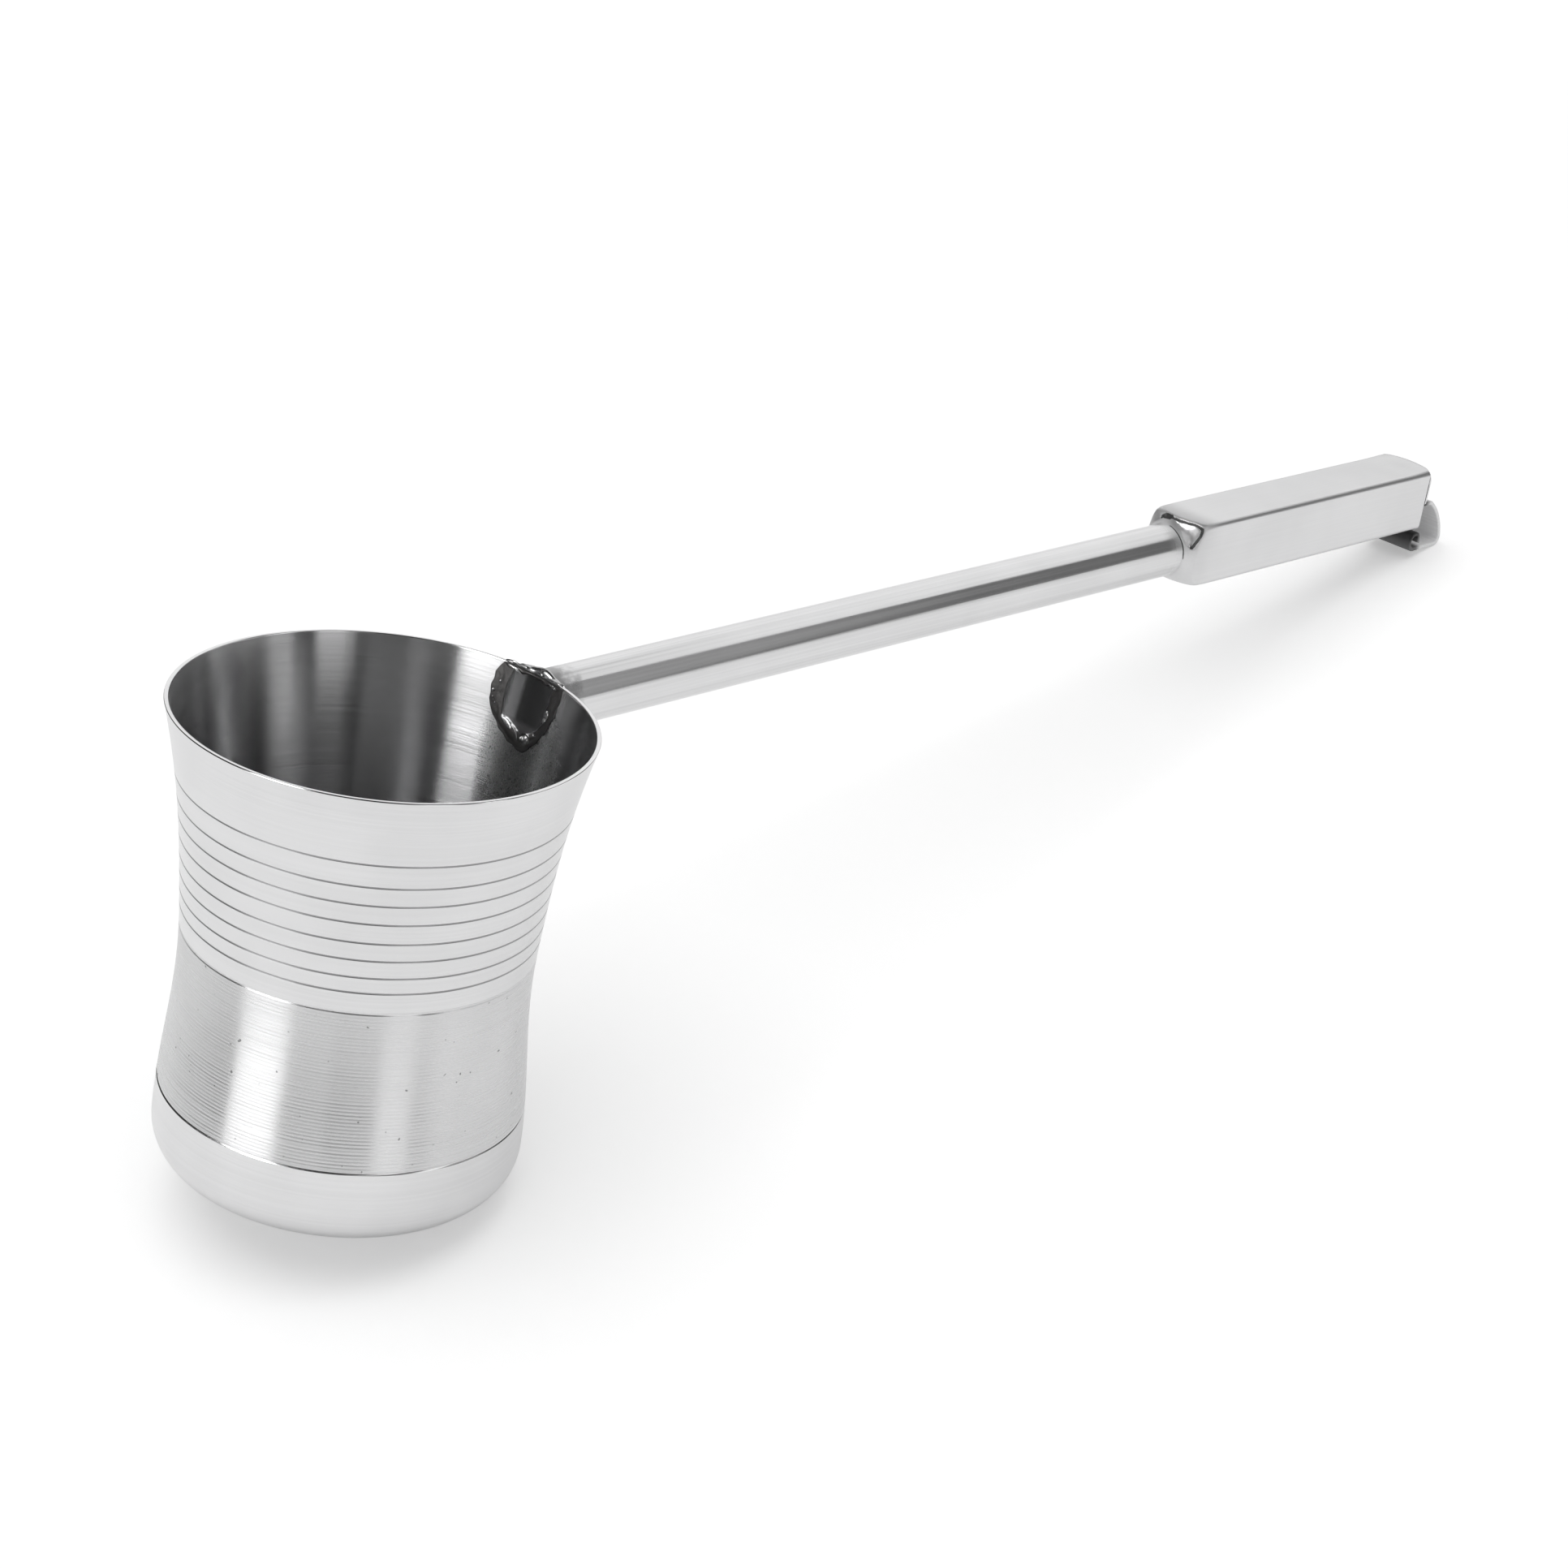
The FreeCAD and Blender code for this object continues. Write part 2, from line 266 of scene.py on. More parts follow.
def closed_ring_stack(rings):
    """A ring stack with a flat face over each end."""
    points, faces = ring_stack(rings)
    columns = len(rings[0])
    last = len(points) - columns
    faces.append(tuple(reversed(range(columns))))
    faces.append(tuple(range(last, last + columns)))
    return points, faces


def add_piece(name, parts, nodes, materials, choose=None, sharp=40):
    """One smooth mesh from (points, faces) parts in millimetres, riding the root body."""
    points, faces, start = [], [], 0
    for part_points, part_faces in parts:
        points.append(np.asarray(part_points, float))
        faces += [tuple(start + i for i in face) for face in part_faces]
        start += len(part_points)
    mesh = bpy.data.meshes.new(name)
    mesh.from_pydata((np.vstack(points) * MM).tolist(), [], faces)
    mesh.validate()
    for material in materials:
        mesh.materials.append(material)
    if choose:
        for polygon in mesh.polygons:
            polygon.material_index = choose(polygon.center / MM)
    solid = bmesh.new()
    solid.from_mesh(mesh)
    bmesh.ops.recalc_face_normals(solid, faces=solid.faces)
    solid.to_mesh(mesh)
    solid.free()
    mesh.transform(PLACE)
    mesh.shade_smooth()
    mesh.set_sharp_from_angle(angle=math.radians(sharp))
    piece = bpy.data.objects.new(name, mesh)
    bpy.context.scene.collection.objects.link(piece)
    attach(piece, "root")
    if nodes:
        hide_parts(*nodes)


def make_cup(materials):
    """The cup as one turned sheet."""
    profile = cup_profile()
    turns = np.linspace(0, 2 * math.pi, cup_segments, endpoint=False)
    rings = []
    for radius, height in profile[1:-1]:
        rings.append(np.column_stack([radius * np.cos(turns), radius * np.sin(turns),
                                      np.full(cup_segments, height)]))
    points, faces = ring_stack(rings)
    count, columns = len(points), cup_segments
    points = np.vstack([points, [(0, 0, profile[0][1]), (0, 0, profile[-1][1])]])
    for j in range(columns):
        k = (j + 1) % columns
        faces.append((count, k, j))
        faces.append((count + 1, count - columns + j, count - columns + k))

    def zone(centre):
        """0 polished outside, 1 turned band, 2 brushed inside, 3 rim, 4 engraved grooves with painted shade.
        """
        if centre[2] > cup_height - rim_round:
            return 3
        radius = math.hypot(centre[0], centre[1])
        if centre[2] > cup_sheet / 2 and radius < wall_or_corner(centre[2]) - cup_sheet / 2:
            return 2
        if min(abs(centre[2] - share * cup_height) for share in groove_height_shares) < groove_shade_half:
            return 4
        return 1 if band_bottom < centre[2] < band_top else 0

    add_piece("cup", [(points, faces)], ["cup_body"], materials, zone)


def wall_or_corner(height):
    """Outer radius of the cup at any height."""
    if height >= base_corner_radius:
        return float(wall_radius(height))
    rise = base_corner_radius - height
    return belly_radius - base_corner_radius + math.sqrt(max(0, base_corner_radius**2 - rise**2))


def circle_about_handle(radius, x, count=144):
    """Ring of points about the handle's axis; x is a number or one value per point."""
    turn = np.linspace(0, 2 * math.pi, count, endpoint=False)
    y, z = -radius * np.sin(turn), handle_height + radius * np.cos(turn)
    return np.column_stack([np.broadcast_to(x, y.shape), y, z])


def coped(radius, gap):
    """Distances at which a bar of this radius meets the cup's wall, plus a gap."""
    ring = circle_about_handle(radius, 0)
    reach = wall_radius(np.minimum(ring[:, 2], cup_height))
    reach = reach + np.maximum(ring[:, 2] - cup_height, 0) * math.tan(rim_flare)
    return np.sqrt(reach**2 - ring[:, 1] ** 2) + gap


def make_tube(material):
    """The handle's round tube, open inside."""
    inner = tube_radius - tube_wall
    rings = []
    for radius, first, last in ((tube_radius, 0, 1), (inner, 1, 0)):
        start = coped(radius, weld_gap)
        for share in np.linspace(first, last, 24):
            rings.append(circle_about_handle(radius, between(start, tube_end, share)))
    rings.append(rings[0])
    add_piece("handle", [ring_stack(rings)], ["handle_tube"], [material])


def square_reach(turn, inset):
    """Distance from the handle's axis to a rounded square, at angles from its top."""
    half, corner = grip_half - inset, grip_corner - inset
    a = np.abs((turn + math.pi / 4) % (math.pi / 2) - math.pi / 4)
    flat = half / np.cos(a)
    k = half - corner
    under = np.maximum(corner**2 - (k * (np.cos(a) - np.sin(a))) ** 2, 0)
    rounded = k * (np.cos(a) + np.sin(a)) + np.sqrt(under)
    return np.where(np.tan(a) * half > k, rounded, flat)


SHOULDER = clamped_spline(shoulder_points, (1, 0), (1, 0), 30)
grip_start, grip_full = shoulder_points[0][0], shoulder_points[-1][0]


def shoulder_reach(x, inset):
    """Radius of the swaged shoulder about the handle's axis."""
    reach = np.interp(x - 0.7 * inset, SHOULDER[:, 0], SHOULDER[:, 1]) - 0.7 * inset
    return np.maximum(reach, bore_radius) if inset else reach


def grip_reach(x, turn, inset=0.0):
    """Distance from the handle's axis to the grip's surface, the shoulder blended into the square."""
    square, shoulder = square_reach(turn, inset), shoulder_reach(x, inset)
    return (square**-shoulder_blend + shoulder**-shoulder_blend) ** (-1 / shoulder_blend)


# The folded corner of the shoulder: creases as (distance along the handle, degrees from the top
# towards the near side), with a depth and a width in millimetres
CREASES = (
    (((251.8, -3), (251.8, 8), (252.2, 23), (252.8, 33), (253.3, 46)), 0.4, 0.3),
    (((253.3, 46), (252.8, 53), (252.2, 58), (251.6, 64), (251.1, 70)), 0.5, 0.36),
    (((248.9, 6), (248.55, 27), (248.5, 50), (248.5, 72), (248.6, 90)), 0.22, 0.24),
    (((251.9, -32), (252.1, -24)), 0.35, 0.35),
    (((252.1, -24), (251.9, -12)), 0.5, 0.55),
    (((251.9, -12), (251.8, -3)), 0.3, 0.28),
)
LENS_TURNS = (3, 12, 19, 27, 35, 41, 46, 53, 58, 64, 69)
LENS_NEAR = (251.1, 250.6, 250.3, 250.0, 249.8, 249.5, 249.3, 249.3, 249.4, 249.8, 250.3)
LENS_FAR = (251.6, 251.8, 252.0, 252.3, 252.8, 253.0, 253.2, 252.7, 252.1, 251.5, 250.9)


def crease_depth(x, turn, with_lens=True):
    """Depth of the creases of the folded corner at points of the grip, and of the lens between."""
    arm = grip_half + 1.2
    across = np.degrees(turn)
    across = (across + 180) % 360 - 180
    u, v = x, np.radians(across) * arm
    depth = np.zeros_like(u)
    for places, deep, wide in CREASES:
        nearest = np.full_like(u, 99.0)
        for (xa, ta), (xb, tb) in zip(places, places[1:]):
            a = np.array((xa, math.radians(ta) * arm))
            b = np.array((xb, math.radians(tb) * arm))
            step = b - a
            share = ((u - a[0]) * step[0] + (v - a[1]) * step[1]) / (step @ step)
            share = np.clip(share, 0, 1)
            away = np.hypot(u - a[0] - share * step[0], v - a[1] - share * step[1])
            nearest = np.minimum(nearest, away)
        depth = np.maximum(depth, deep * np.exp(-((nearest / wide) ** 2)))
    if not with_lens:
        return depth
    near = np.interp(across, LENS_TURNS, LENS_NEAR, left=999, right=999)
    far = np.interp(across, LENS_TURNS, LENS_FAR, left=-999, right=-999)
    inside = np.clip((u - near) / 0.5, 0, 1) * np.clip((far - u) / 0.5, 0, 1)
    return np.maximum(depth, 0.5 * inside)


def grip_ring(x, inset=0.0, creased=True, count=480):
    """Ring of points round the grip at one distance along the handle."""
    turn = np.linspace(0, 2 * math.pi, count, endpoint=False)
    xs = np.full(count, float(x))
    reach = grip_reach(xs, turn, inset)
    if creased:
        reach = np.maximum(reach - crease_depth(xs, turn), tube_radius + 0.02)
    y, z = -reach * np.sin(turn), handle_height + reach * np.cos(turn)
    share = np.clip((x - wall_end + crown_length) / crown_length, 0, 1)
    dome = np.maximum(1 - (y / grip_half) ** 2, 0) * (z > handle_height + grip_half / 2)
    return np.column_stack([xs, y, z + crown_bulge * share**2 * (3 - 2 * share) * dome])


def flap_row(crest, turn, corner, inset):
    """Points across the folded top wall: level in its middle, rounded over towards both sides."""
    half = grip_half - corner
    sides = [(-half, -angle) for angle in np.radians(np.linspace(84, 0, 12))]
    sides += [(y, 0) for y in np.linspace(-half, half, 12)[1:-1]]
    sides += [(half, angle) for angle in np.radians(np.linspace(0, 84, 12))]
    row = []
    for y, side in sides:
        sunk = inset + (corner - inset) * (1 - math.cos(side))
        across = y + (corner - inset) * math.sin(side)
        dome = 1 - (across / grip_half) ** 2
        x = crest[0] + flap_bulge * dome * math.sin(turn) - sunk * math.sin(turn)
        row.append((x, across, crest[1] + crown_bulge * dome * math.cos(turn) - sunk * math.cos(turn)))
    return row


def make_flap():
    """Top wall folded down over the open end, like a hood."""
    fold_x, fold_z = flap_outside - flap_fold, grip_top - flap_fold
    path = []
    for share in np.linspace(0, 1, 16):
        turn = share * math.pi / 2
        crest = (fold_x + flap_fold * math.sin(turn), fold_z + flap_fold * math.cos(turn))
        path.append((crest, turn, between(grip_corner, flap_corner, min(1, 4 * share))))
    for z in np.linspace(fold_z, flap_low, 8)[1:]:
        path.append(((flap_outside, z), math.pi / 2, flap_corner))
    rings = []
    for crest, turn, corner in path:
        outer, inner = (flap_row(crest, turn, corner, inset) for inset in (0, 0.8 * grip_wall))
        rings.append(np.vstack([outer, inner[::-1]]))
    return closed_ring_stack(rings)


def make_grip(materials):
    """Square grip with its swaged shoulder, and the flap over its end."""
    xs = list(np.linspace(grip_start, grip_full, 130)) + list(np.linspace(grip_full, wall_end, 40)[1:])
    rings = [circle_about_handle(tube_radius + 0.01, grip_start, 480)]
    rings += [grip_ring(x) for x in xs]
    inside = list(np.linspace(wall_end, grip_full, 20))
    inside += list(np.linspace(grip_full, hollow_start, 20)[1:])
    for x in inside:
        rings.append(grip_ring(x, grip_wall, creased=False))
    rings.append(rings[0])

    def zone(centre):
        """1 in the creases of the folded corner, which carry painted shade, 0 elsewhere."""
        if not grip_start < centre[0] < grip_full:
            return 0
        turn = math.atan2(-centre[1], centre[2] - handle_height)
        return 1 if crease_depth(np.array([centre[0]]), np.array([turn]), False)[0] > 0.1 else 0

    add_piece("grip", [ring_stack(rings), make_flap()], ["grip_tube"], materials, zone)


def make_collar_weld(material):
    """Lens of weld in the folded corner of the shoulder."""
    turns = np.linspace(LENS_TURNS[0] + 1, LENS_TURNS[-1] - 1, 60)
    near = np.interp(turns, LENS_TURNS, LENS_NEAR)
    far = np.interp(turns, LENS_TURNS, LENS_FAR)
    rng = np.random.default_rng(collar_seed)
    waves = rng.uniform(0, 6.28, 4)
    upper, lower = [], []
    for place, turn in enumerate(np.radians(turns)):
        share = np.linspace(0, 1, 28)
        x = between(near[place], far[place], share)
        reach = grip_reach(x, np.full_like(x, turn))
        bulge = np.sin(math.pi * share)
        along = place / (len(turns) - 1)
        ends = math.sin(math.pi * along) ** 0.5
        ripple = 0.07 * np.sin(9 * along + waves[0] + 3 * share)
        ripple = ripple + 0.05 * np.sin(21 * along + waves[1] - 5 * share)
        rise = reach - 0.32 + (0.02 + 0.3 * bulge**0.6) * ends - 0.25 * bulge**2 + ripple * bulge
        for level, row in ((rise, upper), (reach - 0.75, lower)):
            row.append(np.column_stack([x, -level * math.sin(turn), handle_height + level * math.cos(turn)]))
    rings = [np.vstack([a, b[::-1]]) for a, b in zip(upper, lower)]
    add_piece("collar_bead", [closed_ring_stack(rings)], ["collar_weld"], [material])


def loop_line():
    """(x, z, heading) along the middle of the loop's strip."""
    x, z, heading = grip_end - loop_tail, loop_height, 0.0
    places = [(x, z, heading)]
    for size, turn in loop_steps:
        if turn == 0:
            for step in range(8):
                x += size / 8 * math.cos(heading)
                z += size / 8 * math.sin(heading)
                places.append((x, z, heading))
            continue
        count = max(8, turn // 4)
        cx, cz = x + size * math.sin(heading), z - size * math.cos(heading)
        start = heading
        for step in range(1, count + 1):
            heading = start - math.radians(turn) * step / count
            x, z = cx - size * math.sin(heading), cz + size * math.cos(heading)
            places.append((x, z, heading))
    return places


def strip_section():
    """(across, up) points of the strip's rounded section."""
    half, thick = loop_half_width, loop_strip / 2
    corners = ((half, thick, 0), (-half, thick, 90), (-half, -thick, 180), (half, -thick, 270))
    out = []
    for across, up, start in corners:
        centre = (across - math.copysign(loop_edge, across), up - math.copysign(loop_edge, up))
        corner = arc(centre, loop_edge, start, start + 90, 5)
        if out and abs(out[-1][0] - corner[0][0]) > 1:
            out += list(np.linspace(out[-1], corner[0], 8)[1:-1])
        out += list(corner)
    return out


def make_loop(material):
    """The bent strip of the hanging loop."""
    section = strip_section()
    rings = []
    for x, z, heading in loop_line():
        ring = [(x - up * math.sin(heading), across, z + up * math.cos(heading)) for across, up in section]
        rings.append(ring)
    add_piece("loop", [closed_ring_stack(rings)], ["hanging_loop"], [material])


def noise_along(count, seed, coarse):
    """Smooth random values between -1 and 1, one for each of count places in a row."""
    rng = np.random.default_rng(seed)
    knots = rng.uniform(-1, 1, coarse)
    return np.interp(np.linspace(0, coarse - 1, count), np.arange(coarse), knots)


def bead_rings(centres, outs, ups, widths, heights, flat=0.35):
    """Rings of a low bead: its own section at each centre, wide along outs and high along ups."""
    rings = []
    turn = np.linspace(0, 2 * math.pi, 24, endpoint=False)
    for c, o, u, w, h in zip(centres, outs, ups, widths, heights):
        rise = np.where(np.sin(turn) > 0, np.sin(turn) * h, np.sin(turn) * h * flat)
        ring = np.array(c)[None] + np.cos(turn)[:, None] * w * np.array(o) + rise[:, None] * np.array(u)
        rings.append(ring)
    return rings


def make_outside_weld(material):
    """Uneven fillet bead round the tube where it meets the cup."""
    count = 180
    turn = np.linspace(0, 2 * math.pi, count, endpoint=False)
    wobble = noise_along(count, outside_seed, 60)
    wobble[-6:] = np.linspace(wobble[-6], wobble[0], 6)
    reach = tube_radius + 0.35
    y, z = -reach * np.sin(turn), handle_height + reach * np.cos(turn)
    x = np.sqrt(wall_radius(np.minimum(z, cup_height - 0.2)) ** 2 - y**2)
    section = np.linspace(0, 2 * math.pi, 18, endpoint=False)
    rings = []
    for i in range(count):
        size = 0.85 + 0.12 * wobble[i]
        out = np.array((0, -math.sin(turn[i]), math.cos(turn[i])))
        centre = np.array((x[i] + 0.15, y[i], z[i] - 0.35 * max(0, math.cos(turn[i]))))
        ring = [centre + size * (math.cos(s) * np.array((1, 0, 0)) + math.sin(s) * out) for s in section]
        rings.append(ring)
    rings.append(rings[0])
    parts = [ring_stack(rings)]
    add_piece("outside_bead", parts, ["cup_weld_outside"], [material], sharp=60)


def on_inner_wall(y, z, lift):
    """Point of the cup's inner wall beside the handle, lifted into the cup."""
    radius = inner_radius(min(z, cup_height - 0.05)) - lift
    return np.array((math.sqrt(radius**2 - y * y), y, z))


def wall_bead(path, widths, heights):
    """Low bead along a path of (y, z) on the cup's inner wall."""
    path = np.array(path, float)
    tangents = np.gradient(path, axis=0)
    centres, outs, ups = [], [], []
    for (y, z), t in zip(path, tangents):
        centre = on_inner_wall(y, z, 0.0)
        side = np.array((t[1], -t[0])) / max(1e-6, math.hypot(*t))
        aside = on_inner_wall(y + 0.1 * side[0], z + 0.1 * side[1], 0.0) - centre
        ahead = on_inner_wall(y + 0.1 * t[0], z + 0.1 * t[1], 0.0) - centre
        up = np.cross(aside, ahead)
        up /= np.linalg.norm(up)
        if up[0] > 0:
            up = -up
        centres.append(centre)
        outs.append(aside / np.linalg.norm(aside))
        ups.append(up)
    return closed_ring_stack(bead_rings(centres, outs, ups, widths, heights))


def resampled(line, count):
    """Points evenly spaced along a line of (y, z) places."""
    line = np.array(line, float)
    run = np.concatenate([[0], np.cumsum(np.hypot(*np.diff(line, axis=0).T))])
    places = np.linspace(0, run[-1], count)
    return np.column_stack([np.interp(places, run, line[:, 0]), np.interp(places, run, line[:, 1])])


def wall_strip(first, second, height, seed, rough=0.2, edges=0.0, count=70, across=14):
    """Strip of metal on the cup's inner wall between two lines of (y, z): domed by height, uneven
    by rough (a share of it), its two edges raised by edges, in millimetres."""
    a, b = resampled(first, count), resampled(second, count)
    rng = np.random.default_rng(seed)
    coarse = rng.uniform(-1, 1, (12, 5))
    rows = []
    share = np.linspace(0, 1, across)
    for i in range(count):
        along = i / (count - 1)
        ends = min(1.0, 6 * min(along, 1 - along) + 0.15)
        upper, lower = [], []
        for u in share:
            y, z = a[i] + u * (b[i] - a[i])
            row = along * 11
            column = u * 4
            r, c = min(int(row), 10), min(int(column), 3)
            fr, fc = row - r, column - c
            lump = (coarse[r, c] * (1 - fr) * (1 - fc) + coarse[r + 1, c] * fr * (1 - fc)
                    + coarse[r, c + 1] * (1 - fr) * fc + coarse[r + 1, c + 1] * fr * fc)
            lift = height * (4 * u * (1 - u)) ** 0.4 * (1 + rough * lump) + edges * abs(2 * u - 1) ** 6
            upper.append(on_inner_wall(y, z, 0.02 + lift * ends))
            lower.append(on_inner_wall(y, z, -0.05))
        rows.append(np.vstack([upper, lower[::-1]]))
    return closed_ring_stack(rows)


# Outlines on the cup's inner wall, (y, z) in millimetres. Strips lie between two lines and have a
# height, lines have a half width, and spots are (y, z, radius).
BURNT_OUTER = ((9.0, 97.3), (9.7, 96.3), (10.3, 95.0), (10.1, 93.6), (10.4, 92.3), (10.0, 90.8), (9.9, 89.5),
               (9.2, 88.0), (8.3, 86.7), (6.9, 85.5), (6.1, 84.4), (4.6, 83.7), (3.4, 82.7), (1.8, 82.5),
               (0.4, 81.9), (-1.3, 81.9), (-2.3, 82.7), (-3.1, 83.9), (-4.4, 85.0), (-5.2, 86.8),
               (-6.3, 88.2), (-6.7, 90.0), (-7.5, 91.6), (-7.4, 93.4), (-7.8, 95.0), (-7.5, 97.3))
BURNT_INNER = ((6.3, 97.3), (6.6, 95.7), (6.95, 93.1), (6.9, 91.0), (6.4, 88.5), (6.1, 87.1), (4.3, 86.6),
               (3.1, 86.1), (1.7, 85.4), (0.2, 85.3), (-0.8, 85.6), (-2.2, 86.1), (-3.4, 87.2),
               (-4.3, 89.0), (-4.4, 91.8), (-4.8, 93.5), (-4.6, 95.5), (-4.7, 97.3))
SOOT_TOP = ((8.9, 97.35), (5.0, 97.35), (0.0, 97.35), (-6.5, 97.35))
SOOT_JAGS = ((8.9, 96.9), (7.0, 96.4), (5.6, 96.9), (4.2, 96.1), (2.6, 96.7), (0.8, 96.5), (-0.8, 96.9),
             (-2.6, 96.3), (-4.0, 96.8), (-6.5, 96.6))
BRIGHT_STRIPS = (
    (((6.5, 87.6), (5.6, 87.3), (4.6, 86.9), (3.6, 86.2), (2.7, 85.35)),
     ((6.45, 87.2), (5.9, 86.2), (5.1, 85.5), (4.1, 85.0), (2.6, 85.1)), 0.3),
    (((8.3, 97.3), (6.8, 97.2), (5.0, 97.1)), ((8.2, 97.0), (7.0, 96.7), (4.9, 95.95)), 0.3),
    (((-3.0, 97.3), (-4.4, 97.2), (-5.6, 96.9)), ((-3.0, 97.0), (-4.2, 96.5), (-5.5, 96.3)), 0.35),
)
DULL_STRIPS = (
    (((-4.7, 92.3), (-4.35, 91.2), (-4.35, 90.2), (-4.6, 89.2)),
     ((-5.0, 92.3), (-5.8, 91.5), (-5.8, 90.4), (-5.1, 89.2)), 0.35),
    (((0.25, 84.5), (-0.2, 85.3), (-1.0, 85.7), (-2.0, 85.4), (-2.5, 84.6)),
     ((0.2, 84.3), (-0.3, 83.6), (-1.2, 83.2), (-2.1, 83.6), (-2.5, 84.4)), 0.55),
)
BRIGHT_LINES = (
    (((6.1, 87.1), (5.1, 87.0), (4.1, 86.6), (3.2, 86.1), (2.4, 85.75), (1.7, 85.25), (1.2, 84.6),
      (0.9, 83.9)), 0.15),
    (((-5.85, 90.9), (-5.4, 89.9), (-4.9, 89.3), (-4.3, 88.4), (-3.7, 87.5), (-2.9, 86.6), (-3.4, 86.2),
      (-4.2, 86.4)), 0.15),
    (((0.4, 84.9), (-0.2, 85.6), (-1.1, 85.9), (-2.2, 85.6)), 0.1),
)
SPOTS = ((8.53, 93.41, 0.36), (9.58, 91.33, 0.44), (9.28, 90.06, 0.22), (9.0, 89.5, 0.14), (8.50, 89.0, 0.2))


def make_inside_weld(burnt, bright, dull):
    """Burnt, U-shaped weld inside the cup, with soot above it and brighter and duller beads on it."""
    parts = [wall_strip(BURNT_OUTER, BURNT_INNER, 0.22, burnt_seed, 0.35, 0.1, 220, 22)]
    parts.append(wall_strip(SOOT_TOP, SOOT_JAGS, 0.3, soot_seed, 0.5, 0.0, 90, 10))
    add_piece("inside_bead", parts, ["cup_weld_inside"], [burnt], sharp=60)
    strips = []
    for i, (first, second, high) in enumerate(BRIGHT_STRIPS):
        strips.append(wall_strip(first, second, high, bright_strip_seed + i, 0.12))
    for i, (line, wide) in enumerate(BRIGHT_LINES):
        path = resampled(line, 50)
        taper = np.sin(np.linspace(0.15, math.pi - 0.15, 50)) ** 0.4
        size = wide * (1 + 0.35 * noise_along(50, bright_line_seed + i, 14)) * taper
        strips.append(wall_bead(path, size, 0.28 + size))
    for y, z, radius in SPOTS:
        path = [(y, z + radius * step) for step in np.linspace(-0.97, 0.97, 11)]
        size = radius * np.sqrt(1 - np.linspace(-0.97, 0.97, 11) ** 2)
        strips.append(wall_bead(path, size, 0.15 + size * 0.8))
    add_piece("inside_weld_bright", strips, [], [bright], sharp=60)
    strips = []
    for i, (first, second, high) in enumerate(DULL_STRIPS):
        strips.append(wall_strip(first, second, high, dull_strip_seed + i, 0.3))
    add_piece("inside_weld_dull", strips, [], [dull], sharp=60)


# Outlines of the rim's two lumps, on its far and its near side, (radius, degrees)
RIM_LUMP_FAR = (
    (41.4, 8.6), (40.6, 6.5), (40.3, 4.5), (40.6, 1.9), (40.4, -0.9), (41.3, -2.3), (42.5, -0.6), (43.0, 1.3),
    (42.9, 3.6), (42.4, 5.8),
)
RIM_LUMP_NEAR = (
    (41.3, -2.6), (40.5, -3.6), (40.4, -6.0), (40.7, -8.3), (41.5, -8.0), (42.1, -5.4), (42.0, -3.4),
)


def rim_lump(outline, low, top, seed, rings=8):
    """Low lump over the rim: (radius, degrees) outline, rising from low to a lumpy top."""
    outline = np.array(outline, float)
    rng = np.random.default_rng(seed)
    closed = np.vstack([outline, outline[:1]])
    steps = np.linspace(0, len(outline), 49)[:-1]
    radius = np.interp(steps, range(len(closed)), closed[:, 0])
    turn = np.radians(np.interp(steps, range(len(closed)), closed[:, 1]))
    x, y = radius * np.cos(turn), radius * np.sin(turn)
    cx, cy = x.mean(), y.mean()
    rows = [np.column_stack([x, y, np.full(48, low)])]
    for i in range(rings):
        share = i / (rings - 1)
        shrink = 1 - 0.88 * share
        rise = top - (top - low) * 0.45 * (1 - share) ** 8 + 0.02 * rng.uniform(-1, 1, 48) * (1 - share)
        rows.append(np.column_stack([cx + (x - cx) * shrink, cy + (y - cy) * shrink, rise]))
    return closed_ring_stack(rows)


def rim_bead_part(start, end, out, wide, high, seed):
    """Thin uneven bead along the rim between two angles in degrees."""
    count = 60
    taper = np.sin(np.linspace(0.1, math.pi - 0.1, count)) ** 0.6
    size = 1 + 0.25 * noise_along(count, seed, 9)
    angles = np.radians(np.linspace(start, end, count))
    centres = [(out * math.cos(a), out * math.sin(a), cup_height - 0.05) for a in angles]
    outs = [(math.cos(a), math.sin(a), 0) for a in angles]
    ups = [(0, 0, 1)] * count
    return closed_ring_stack(bead_rings(centres, outs, ups, wide * taper * size, high * taper * size, 1.0))


def make_rim_weld(material):
    """Weld over the rim, across the top of the tube: two flat lumps and thin uneven beads."""
    lip = rim_radius - cup_sheet
    parts = [
        rim_lump(RIM_LUMP_FAR, cup_height - 0.4, cup_height + 0.5, rim_seed),
        rim_lump(RIM_LUMP_NEAR, cup_height - 0.4, cup_height + 0.35, rim_seed + 1),
        rim_bead_part(-9.5, 0.5, lip, 0.24, 0.42, rim_seed + 2),
        rim_bead_part(3.0, 12.8, lip + 0.15, 0.26, 0.45, rim_seed + 3),
        rim_bead_part(8.0, 13.2, rim_radius - 0.25, 0.22, 0.35, rim_seed + 4),
        rim_bead_part(-9.6, -6.0, rim_radius, 0.3, 0.35, rim_seed + 5),
    ]
    add_piece("rim_bead", parts, ["rim_weld"], [material], sharp=60)


